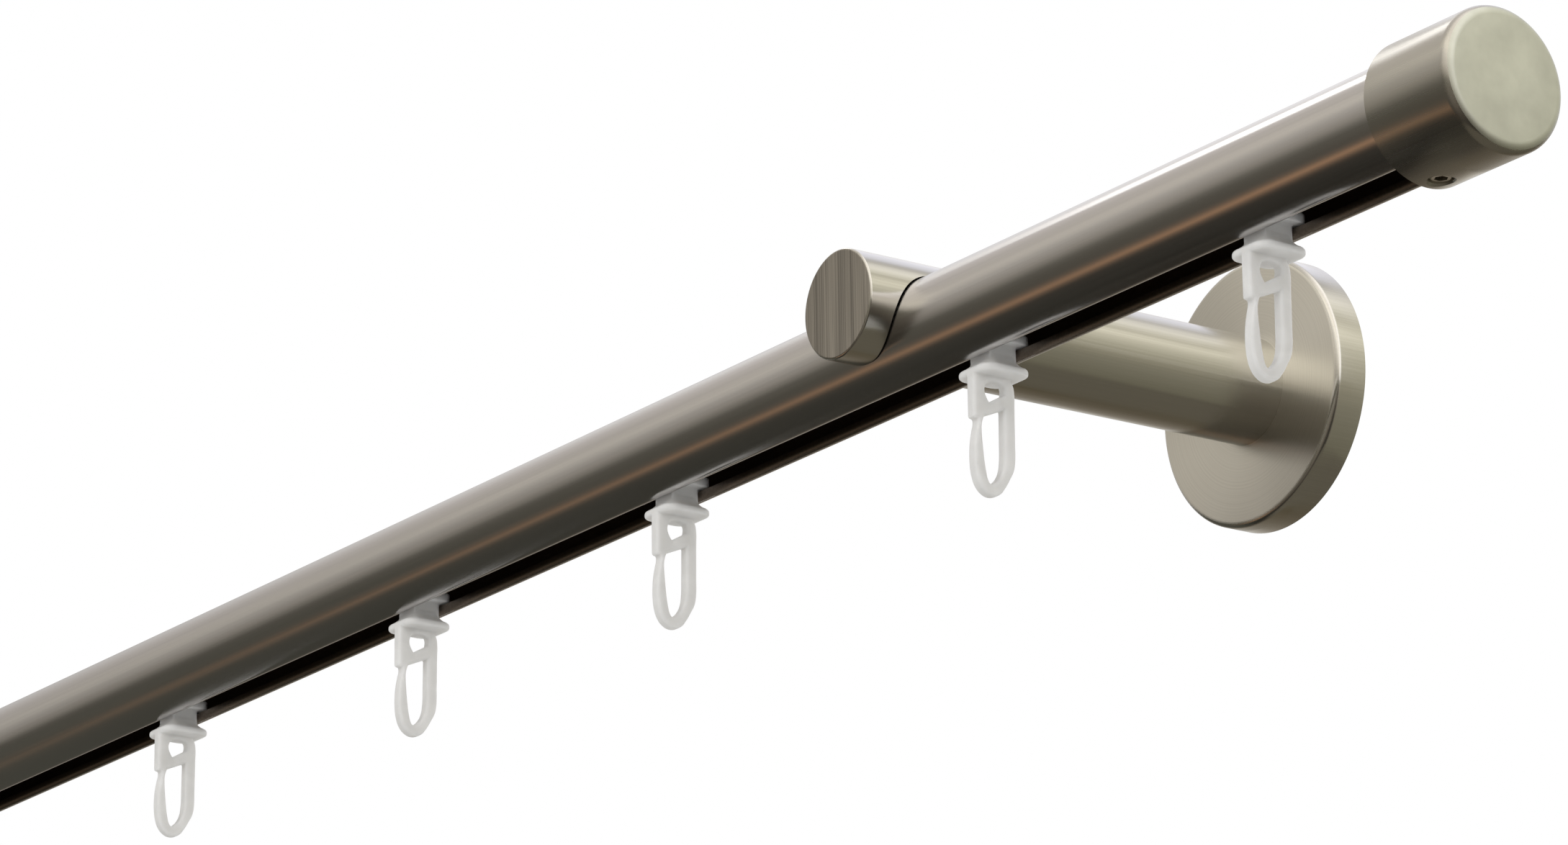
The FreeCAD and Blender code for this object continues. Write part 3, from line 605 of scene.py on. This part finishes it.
HOOK_OUTSIDE = (
    (-4.85, -11.3, "corner"), (-4.87, -19.6, "corner"), (-4.05, -19.72, "corner"),
    (-3.98, -20.4, "curve"), (-4.30, -21.9, "curve"), (-4.68, -23.9, "curve"),
    (-4.84, -26.0, "curve"), (-4.80, -28.0, "curve"), (-4.52, -29.8, "curve"),
    (-3.92, -31.3, "curve"), (-2.90, -32.4, "curve"), (-1.40, -32.93, "curve"),
    (0.05, -32.5, "curve"), (1.10, -31.35, "curve"), (2.25, -29.5, "curve"), (3.00, -28.1, "curve"),
    (3.33, -26.6, "curve"), (3.42, -23.0, "curve"), (3.50, -17.0, "curve"), (3.55, -14.6, "curve"),
    (3.30, -13.1, "curve"), (2.70, -12.2, "curve"), (2.60, -11.3, "corner"),
)
HOOK_GAP = (
    (-2.95, -19.25, "corner"), (-3.42, -20.7, "curve"), (-3.50, -22.4, "curve"), (-3.36, -24.4, "curve"),
    (-3.12, -26.9, "curve"), (-2.76, -29.2, "curve"), (-2.36, -30.6, "curve"), (-1.85, -31.15, "curve"),
    (-0.80, -30.7, "curve"), (0.30, -29.6, "curve"), (0.98, -28.2, "curve"), (1.30, -26.4, "curve"),
    (1.42, -23.0, "curve"), (1.50, -17.35, "corner"),
)
EYELET = (
    (-2.70, -15.1, "curve"), (-2.55, -13.9, "curve"), (-1.90, -13.15, "curve"), (1.40, -13.05, "curve"),
    (1.75, -13.5, "curve"), (1.70, -15.0, "corner"), (-1.75, -16.95, "corner"), (-2.30, -16.1, "curve"),
)
# The flange from the neck down: depth below the track's axis, half length, half width, corner
FLANGE_RINGS = (
    (9.0, 3.0, 2.7, 1.2), (9.8, 3.25, 3.1, 1.3), (10.3, 3.6, 3.7, 1.6), (10.65, 4.0, 4.2, 1.9),
    (10.9, 4.5, 4.7, 2.2), (11.15, 4.7, 4.95, 2.4), (11.5, 4.75, 5.0, 2.5), (11.9, 4.7, 4.95, 2.4),
    (12.15, 4.4, 4.65, 2.2),
)
FLANGE_CORNER_STEPS = 8
HOOK_THICKNESS = 2.2 * MM
HOOK_ROUND = 0.5 * MM
# The drawn outline is let out a little, because softening the moulding draws it in
HOOK_SWELL = 0.15 * MM
BEND_STEPS = 6
ROUND_STEPS = 3
# Below this depth under the track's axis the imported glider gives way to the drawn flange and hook
NECK_CUT = 9.7 * MM
# The moulding's faces, its softening, and the share of its faces that is kept
GRAIN = 0.15 * MM
SOFTENING = 0.5
SOFTENING_ROUNDS = 10
KEPT_FACES = 0.35


def add_outline(curve, points):
    """One closed line of a flat drawing, with sharp corners and smooth bends."""
    line = curve.splines.new("BEZIER")
    line.bezier_points.add(len(points) - 1)
    for point, (across, up, kind) in zip(line.bezier_points, points):
        point.co = (across * MM, up * MM, 0)
        handle = "VECTOR" if kind == "corner" else "AUTO"
        point.handle_left_type = handle
        point.handle_right_type = handle
    line.use_cyclic_u = True
    line.resolution_u = BEND_STEPS


def make_hook(middle_x):
    """The flat hook with its gap and eyelet, rounded all along its edges."""
    drawing = bpy.data.curves.new("hook", "CURVE")
    drawing.dimensions = "2D"
    drawing.fill_mode = "BOTH"
    for points in (HOOK_OUTSIDE, HOOK_GAP, EYELET):
        add_outline(drawing, points)
    drawing.extrude = HOOK_THICKNESS / 2 - HOOK_ROUND
    drawing.bevel_depth = HOOK_ROUND
    drawing.bevel_resolution = ROUND_STEPS
    drawing.offset = HOOK_SWELL - HOOK_ROUND
    hook = bpy.data.objects.new("hook", drawing)
    bpy.context.scene.collection.objects.link(hook)
    pick(hook)
    bpy.ops.object.convert(target="MESH")
    hook = bpy.context.active_object
    # Drawn lying flat: its across becomes Y, its up becomes Z and its thickness lies along X
    hook.data.transform(Matrix((
        (0, 0, 1, middle_x), (1, 0, 0, tube_middle_y), (0, 1, 0, tube_middle_z), (0, 0, 0, 1),
    )))
    start_edit(hook)
    bpy.ops.mesh.select_all(action="SELECT")
    bpy.ops.mesh.remove_doubles(threshold=SAME_DRAWN_POINT)
    bpy.ops.mesh.normals_make_consistent(inside=False)
    end_edit()
    return hook


def make_flange(middle_x):
    """The neck's foot and the flange: round-cornered rings joined from top to bottom."""
    points = []
    for depth, half_long, half_wide, corner in FLANGE_RINGS:
        for quarter in range(4):
            turn = quarter * pi / 2 + pi / 4
            side_x = (half_long - corner) * (1 if cos(turn) > 0 else -1)
            side_y = (half_wide - corner) * (1 if sin(turn) > 0 else -1)
            start = 90 * quarter
            for x, y in arc_points(side_x, side_y, corner, start, start + 90, FLANGE_CORNER_STEPS):
                points.append((middle_x + x * MM, tube_middle_y + y * MM, tube_middle_z - depth * MM))
    around = len(points) // len(FLANGE_RINGS)
    faces = [tuple(range(around)), tuple(range(len(points) - around, len(points)))]
    for first in range(0, len(points) - around, around):
        for i in range(around):
            after = (i + 1) % around
            faces.append((first + i, first + after, first + around + after, first + around + i))
    mesh = bpy.data.meshes.new("flange")
    mesh.from_pydata(points, [], faces)
    flange = bpy.data.objects.new("flange", mesh)
    bpy.context.scene.collection.objects.link(flange)
    face_outwards(flange)
    return flange


def make_first_glider(node):
    """Head and neck as packed, with the drawn flange and hook, run together as one moulding."""
    low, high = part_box(node)
    middle_x = (low.x + high.x) / 2
    piece = merged_copy("runner", node)
    start_edit(piece)
    bpy.ops.mesh.select_all(action="SELECT")
    bpy.ops.mesh.bisect(
        plane_co=(0, 0, tube_middle_z - NECK_CUT), plane_no=UP, use_fill=True, clear_inner=True,
    )
    end_edit()
    parts = [make_hook(middle_x), make_flange(middle_x)]
    pick(piece)
    for part in parts:
        part.select_set(True)
    bpy.ops.object.join()
    fine = piece.modifiers.new("Fine", "REMESH")
    fine.mode = "VOXEL"
    fine.voxel_size = GRAIN
    soft = piece.modifiers.new("Soft", "SMOOTH")
    soft.factor = SOFTENING
    soft.iterations = SOFTENING_ROUNDS
    light = piece.modifiers.new("Light", "DECIMATE")
    light.ratio = KEPT_FACES
    for modifier in ("Fine", "Soft", "Light"):
        bpy.ops.object.modifier_apply(modifier=modifier)
    bpy.ops.object.shade_smooth()
    return piece


def make_gliders():
    first = make_first_glider(GLIDERS[0])
    first_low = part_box(GLIDERS[0])[0]
    for node in GLIDERS:
        piece = bpy.data.objects.new(node.replace("glider", "runner"), first.data.copy())
        bpy.context.scene.collection.objects.link(piece)
        piece.data.transform(Matrix.Translation(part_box(node)[0] - first_low))
        finish_piece(piece, node, "glider", node, nylon)
    bpy.data.objects.remove(first)


make_gliders()


# The screws: turned shanks with a thread and a hexagon socket

THREAD_PITCH = 0.7 * MM
THREAD_DEPTH = 0.3 * MM
END_CHAMFER = 1.5 * THREAD_DEPTH
# A socket's depth against the screw's radius
SOCKET_SHARE = 0.8


def make_screw(node, up):
    """A grub screw whose hexagon socket is as wide across its flats as the screw's radius."""
    low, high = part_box(node)
    radius = (high.x - low.x) / 2
    length = high.z - low.z
    head = Vector(((low.x + high.x) / 2, (low.y + high.y) / 2, high.z if up > 0 else low.z))
    profile = [(0.0, 0.0), (0.0, radius - END_CHAMFER)]
    depth = THREAD_DEPTH
    while depth < length - 2 * THREAD_DEPTH:
        profile += [(-depth, radius), (-depth - THREAD_PITCH / 2, radius - THREAD_DEPTH)]
        depth += THREAD_PITCH
    profile += [(-length, radius - END_CHAMFER), (-length, 0.0)]
    piece = spun(node.replace("screw", "grub"), profile, head, (0, 0, up), steps=48)
    deselect_all()
    bpy.ops.mesh.primitive_cylinder_add(
        vertices=6, radius=radius / sqrt(3), depth=2 * SOCKET_SHARE * radius, location=head
    )
    cut(piece, bpy.context.active_object)
    smooth(piece)
    finish_piece(piece, "track", "screw", node, screw_steel)


for screw_node, screw_up in (
    ("cap_screw_left", -1), ("cap_screw_right", -1), ("rod_screw", 1), ("rosette_screw", 1),
):
    make_screw(screw_node, screw_up)

for node_name, finish in (
    ("arm_bolt", zinc_steel), ("wall_plate", zinc_steel),
    ("end_stop_left", stop_plastic), ("end_stop_right", stop_plastic),
):
    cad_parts[node_name].data.materials.clear()
    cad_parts[node_name].data.materials.append(finish)


# The studio: a pale floor far below, a white surround, soft lamps, and painted reflections for the steel

FLOOR_PLACE = (0.1, 0.25, -1.2)
FLOOR_RADIUS = 0.95
FLOOR_PAPER = "#f2f2f0"
# Painted reflection: the dim tone that mirrored rays see on the floor in place of its pale paper
FLOOR_PAINTED_REFLECTION = "#6e685b"


def make_floor():
    """Pale paper to the camera and to light; mirrored rays see a painted dim tone on it instead, a
    painted reflection that keeps the steel's undersides dark.
    """
    deselect_all()
    bpy.ops.mesh.primitive_circle_add(
        vertices=96, radius=FLOOR_RADIUS, fill_type="NGON", location=FLOOR_PLACE
    )
    floor = bpy.context.active_object
    floor.name = "floor"
    material, tree, output = new_material("pale floor with painted dim reflection")
    paper = add_node(tree, "ShaderNodeBsdfDiffuse", {"Color": colour(FLOOR_PAPER)})
    # Painted reflection: a glow that mirrored rays alone see
    dim = add_node(tree, "ShaderNodeEmission", {"Color": colour(FLOOR_PAINTED_REFLECTION)})
    rays = add_node(tree, "ShaderNodeLightPath")
    whole = add_node(
        tree, "ShaderNodeMixShader", {},
        {0: rays.outputs["Is Glossy Ray"], 1: paper.outputs[0], 2: dim.outputs[0]},
    )
    tree.links.new(whole.outputs[0], output.inputs["Surface"])
    floor.data.materials.append(material)


# What polished steel mirrors: long bands of light and dark, as tones over the turn round the
# track's length, from straight behind and below to straight behind and above. The tones here and
# round the arm were worked back from tones that a scratch script read off the photograph, at
# single angles round the tube, caps, arm and rim, and then changed by hand in rounds of comparing.
# Painted reflections: bands painted in for mirrored rays alone; nothing in the scene casts them
ALONG_TRACK_BANDS = (
    (0.04, "#8a8478"),
    (0.16, "#5e5850"),
    (0.225, "#292520"),
    (0.29, "#25231f"),
    (0.35, "#322f2a"),
    (0.375, "#3f3932"),
    (0.395, "#504a42"),
    (0.430, "#57524a"),
    (0.455, "#59544b"),
    (0.505, "#615e55"),
    (0.55, "#a09a90"),
    (0.60, "#b9b4ac"),
    (0.64, "#dad4c8"),
    (0.67, "#cac4ba"),
    (0.70, "#c9c3bb"),
    (0.75, "#d6d0ca"),
    (0.80, "#e8e4e0"),
    (0.845, "#edeae8"),
    (0.91, "#cdcac8"),
)
# Painted reflection: a narrow warm line, in place of a wooden floor's far edge, that only the track
# mirrors
PAINTED_WARM_LINE_BANDS = (
    (0.374, "#000000"),
    (0.390, "#8a8a8a"),
    (0.407, "#ffffff"),
    (0.424, "#8a8a8a"),
    (0.445, "#000000"),
)
# The tone of that painted warm reflection line
PAINTED_WARM_LINE_TONE = "#b58c6a"
# What the far end of the track mirrors is never darker than this
FAR_END_TONE = "#5e5d54"
# Painted reflection bands round the arm's length, from level at the left over the floor to level at the
# left again
ALONG_ARM_BANDS = (
    (0.00, "#c6c0b6"),
    (0.05, "#8c8478"),
    (0.10, "#6a6255"),
    (0.16, "#585040"),
    (0.25, "#625f52"),
    (0.33, "#706c5c"),
    (0.44, "#837f6f"),
    (0.49, "#938e7c"),
    (0.535, "#aca792"),
    (0.58, "#c4bfaa"),
    (0.62, "#ece6d2"),
    (0.66, "#c0bba8"),
    (0.69, "#f2eddf"),
    (0.715, "#f8f3e9"),
    (0.76, "#bab6b0"),
    (0.80, "#e6e5ee"),
    (0.85, "#f0eff8"),
    (0.90, "#e4e2e2"),
    (0.95, "#c8c6c3"),
    (1.00, "#c6c0b6"),
)
# Where the parts of the painted reflection take turns, by the X or Y of the mirrored direction. Towards
# the far end X nears -1: the painted warm line sets in, then fades, and the far end's tone takes over.
WARM_LINE_SETS_IN = {"From Min": -0.55, "From Max": -0.72}
WARM_LINE_STRENGTH = {"From Min": -0.79, "From Max": -0.736, "To Min": 0.1, "To Max": 1.55}
FAR_END_SETS_IN = {"From Min": -0.76, "From Max": -0.83}
# Rounded edges that turn towards the near end mirror a brighter part of the room
# Painted highlight: the painted reflection is brighter towards the near end, so rounded edges that turn
# that way show lighter
NEAR_END_STRENGTH = {"From Min": -0.3, "From Max": 0.2, "To Min": 1.0, "To Max": 1.85}
# Behind the track, towards the wall, the arm's bands take over from the track's
ARM_BANDS_SET_IN = {"From Min": 0.2, "From Max": 0.5}
# All that is mirrored dims a little towards the far end
MIRRORED_STRENGTH = {"From Min": -0.84, "From Max": -0.70, "To Min": 0.85, "To Max": 1.3}
SOFT_LIGHT_TONE = "#f6f6f5"
SOFT_LIGHT_STRENGTH = 0.82


def add_bands(tree, up, across, stops):
    """Bands of tone over the turn from one direction part to another, once round."""
    turn = add_node(tree, "ShaderNodeMath", {"operation": "ARCTAN2"}, {0: up, 1: across}).outputs[0]
    share = add_node(
        tree, "ShaderNodeMapRange", {"From Min": -pi, "From Max": pi}, {"Value": turn}
    ).outputs[0]
    bands = add_node(tree, "ShaderNodeValToRGB", {}, {"Fac": share})
    ramp = bands.color_ramp
    while len(ramp.elements) < len(stops):
        ramp.elements.new(1.0)
    for element, (position, tone) in zip(ramp.elements, stops):
        element.position = position
        element.color = colour(tone)
    return bands.outputs["Color"]


def make_surround():
    """White where the camera looks, an even white light, and painted reflections: bands of tone that
    only mirrored rays see.
    """
    world = bpy.data.worlds.new("studio")
    bpy.context.scene.world = world
    world.use_nodes = True
    # The bands are meant for mirrored rays alone, so the surround isn't sampled as a lamp
    world.cycles.sampling_method = "NONE"
    tree = world.node_tree
    tree.nodes.clear()
    output = tree.nodes.new("ShaderNodeOutputWorld")
    direction = add_node(tree, "ShaderNodeTexCoord").outputs["Generated"]
    split = add_node(tree, "ShaderNodeSeparateXYZ", {}, {0: direction})
    along, back, up = split.outputs
    forward = add_node(tree, "ShaderNodeMath", {"operation": "MULTIPLY", 1: -1.0}, {0: back}).outputs[0]
    round_track = add_bands(tree, up, forward, ALONG_TRACK_BANDS)
    round_arm = add_bands(tree, up, along, ALONG_ARM_BANDS)
    # The painted warm reflection line, which sets in towards the far end
    painted_warm_line = add_bands(tree, up, forward, PAINTED_WARM_LINE_BANDS)
    warm_line_reach = add_node(tree, "ShaderNodeMapRange", WARM_LINE_SETS_IN, {"Value": along})
    warm_line_share = add_node(
        tree, "ShaderNodeMath", {"operation": "MULTIPLY"}, {0: painted_warm_line, 1: warm_line_reach.outputs[0]}
    )
    warm_line_strength = add_node(tree, "ShaderNodeMapRange", WARM_LINE_STRENGTH, {"Value": along})
    warm = add_node(
        tree, "ShaderNodeVectorMath", {"operation": "SCALE", 0: colour(PAINTED_WARM_LINE_TONE)[:3]},
        {"Scale": warm_line_strength.outputs[0]},
    )
    with_warm_line = add_node(
        tree, "ShaderNodeMix", {"data_type": "RGBA"},
        {"Factor": warm_line_share.outputs[0], MIX_FIRST: round_track, MIX_SECOND: warm.outputs[0]},
    )
    far_end = add_node(tree, "ShaderNodeMapRange", FAR_END_SETS_IN, {"Value": along})
    hazy = add_node(
        tree, "ShaderNodeMix",
        {"data_type": "RGBA", "blend_type": "LIGHTEN", MIX_SECOND: colour(FAR_END_TONE)},
        {"Factor": far_end.outputs[0], MIX_FIRST: with_warm_line.outputs[MIXED]},
    )
    near_end = add_node(
        tree, "ShaderNodeMapRange", {"interpolation_type": "SMOOTHSTEP", **NEAR_END_STRENGTH},
        {"Value": along},
    )
    lifted = add_node(
        tree, "ShaderNodeVectorMath", {"operation": "SCALE"},
        {0: hazy.outputs[MIXED], "Scale": near_end.outputs[0]},
    )
    behind = add_node(
        tree, "ShaderNodeMapRange", {"interpolation_type": "SMOOTHSTEP", **ARM_BANDS_SET_IN},
        {"Value": back},
    )
    # The painted reflection: the track's bands in front, the arm's bands behind
    painted_reflection = add_node(
        tree, "ShaderNodeMix", {"data_type": "RGBA"},
        {"Factor": behind.outputs[0], MIX_FIRST: lifted.outputs[0], MIX_SECOND: round_arm},
    )
    strength = add_node(tree, "ShaderNodeMapRange", MIRRORED_STRENGTH, {"Value": along})
    mirrored = add_node(
        tree, "ShaderNodeBackground", {}, {"Color": painted_reflection.outputs[MIXED], "Strength": strength.outputs[0]}
    )
    soft = add_node(
        tree, "ShaderNodeBackground",
        {"Color": colour(SOFT_LIGHT_TONE), "Strength": SOFT_LIGHT_STRENGTH},
    )
    white = add_node(tree, "ShaderNodeBackground", {"Color": (1, 1, 1, 1), "Strength": 1.0})
    rays = add_node(tree, "ShaderNodeLightPath")
    lit = add_node(
        tree, "ShaderNodeMixShader", {},
        {0: rays.outputs["Is Glossy Ray"], 1: soft.outputs[0], 2: mirrored.outputs[0]},
    )
    seen = add_node(
        tree, "ShaderNodeMath", {"operation": "MAXIMUM"},
        {0: rays.outputs["Is Camera Ray"], 1: rays.outputs["Is Transmission Ray"]},
    )
    whole = add_node(
        tree, "ShaderNodeMixShader", {}, {0: seen.outputs[0], 1: lit.outputs[0], 2: white.outputs[0]}
    )
    tree.links.new(whole.outputs[0], output.inputs["Surface"])


def add_lamp(name, place, target, sides, power):
    """A rectangular lamp turned to a target: metres and watts."""
    data = bpy.data.lights.new(name, "AREA")
    data.shape = "RECTANGLE"
    data.size, data.size_y = sides
    data.energy = power
    lamp = bpy.data.objects.new(name, data)
    bpy.context.scene.collection.objects.link(lamp)
    lamp.location = place
    lamp.rotation_euler = (Vector(target) - Vector(place)).to_track_quat("-Z", "Y").to_euler()
    return lamp


make_floor()
make_surround()
add_lamp(
    "end highlight", place=(-0.47, 0.0, 0.60), target=(0.1, -0.08, 0), sides=(0.17, 0.15), power=0.17
)
front_fill = add_lamp(
    "front fill", place=(0.5, -1.1, 0.7), target=(-0.05, -0.05, 0), sides=(0.8, 0.8), power=5.0
)
# Mirrored rays don't meet it: it lights the gliders and leaves no bright patch on the steel
front_fill.visible_glossy = False


# The camera stands where the photograph was taken from, as a scratch script fitted it to outlines
# in the photograph: metres, and degrees from level ahead

CAMERA_PLACE = (0.8018, -0.6774, -0.3391)
CAMERA_TURN = 54.614
CAMERA_LIFT = 17.808
CAMERA_ROLL = -0.922
LENS_MM = 141.4
SENSOR_MM = 36
NEAREST = 0.01
FARTHEST = 50


def make_camera():
    data = bpy.data.cameras.new("photograph")
    data.sensor_width = SENSOR_MM
    data.lens = LENS_MM
    data.clip_start = NEAREST
    data.clip_end = FARTHEST
    camera = bpy.data.objects.new("photograph", data)
    bpy.context.scene.collection.objects.link(camera)
    bpy.context.scene.camera = camera
    turn = radians(CAMERA_TURN)
    lift = radians(CAMERA_LIFT)
    forward = Vector((-sin(turn) * cos(lift), cos(turn) * cos(lift), sin(lift)))
    roll = Matrix.Rotation(radians(CAMERA_ROLL), 3, "Z")
    camera.rotation_mode = "QUATERNION"
    camera.rotation_quaternion = (forward.to_track_quat("-Z", "Y").to_matrix() @ roll).to_quaternion()
    camera.location = CAMERA_PLACE


make_camera()
bpy.context.scene.view_settings.view_transform = "Standard"
